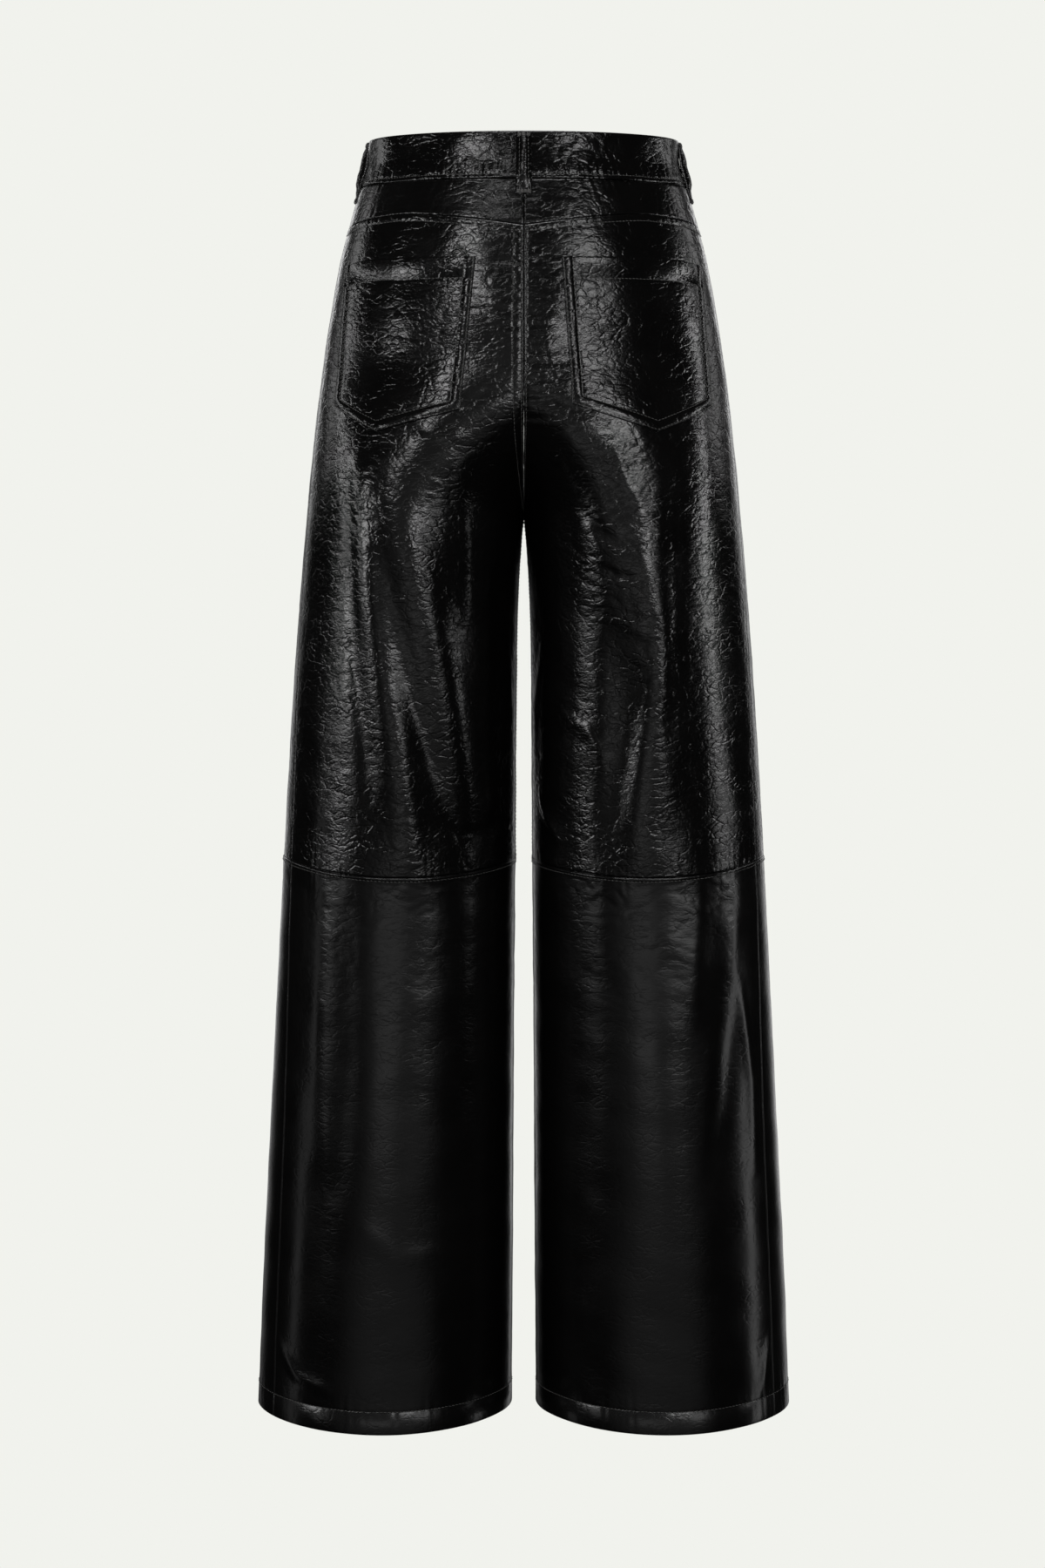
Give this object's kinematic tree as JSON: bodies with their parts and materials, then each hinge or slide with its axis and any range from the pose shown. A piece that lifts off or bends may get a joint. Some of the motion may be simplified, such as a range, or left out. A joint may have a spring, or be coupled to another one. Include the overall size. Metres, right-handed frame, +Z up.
{
  "type": "leather trousers",
  "caption": "High-waisted wide-leg leather trousers in their hollow worn shape, with waistband, yoke, patch pockets, knee seams and a fly.",
  "frame": {"origin": "middle of the waist opening, level with the waistband's top edge, where the wearer's waist holds it", "axes": "+Z up; the garment's back faces -Y and the wearer's right is +X"},
  "size_m": [0.4558, 0.2337, 1.0806],
  "materials": {
    "leather": "semi-gloss crinkled black leather",
    "tape": "matt woven zip tape",
    "metal": "dark nickel"
  },
  "bodies": {
    "root": {"back_lower_left": "leather", "back_lower_right": "leather", "back_pocket_left": "leather", "back_pocket_right": "leather", "back_upper_left": "leather", "back_upper_right": "leather", "back_yoke_left": "leather", "back_yoke_right": "leather", "belt_loop_back": "leather", "belt_loop_front_left": "leather", "belt_loop_front_right": "leather", "belt_loop_left": "leather", "belt_loop_right": "leather", "fly_facing": "leather", "fly_shield": "leather", "front_lower_left": "leather", "front_lower_right": "leather", "front_upper_left": "leather", "front_upper_right": "leather", "waist_button": "metal", "waistband": "leather", "zip_slider": "metal", "zip_tape": "tape"}
  },
  "joints": []
}
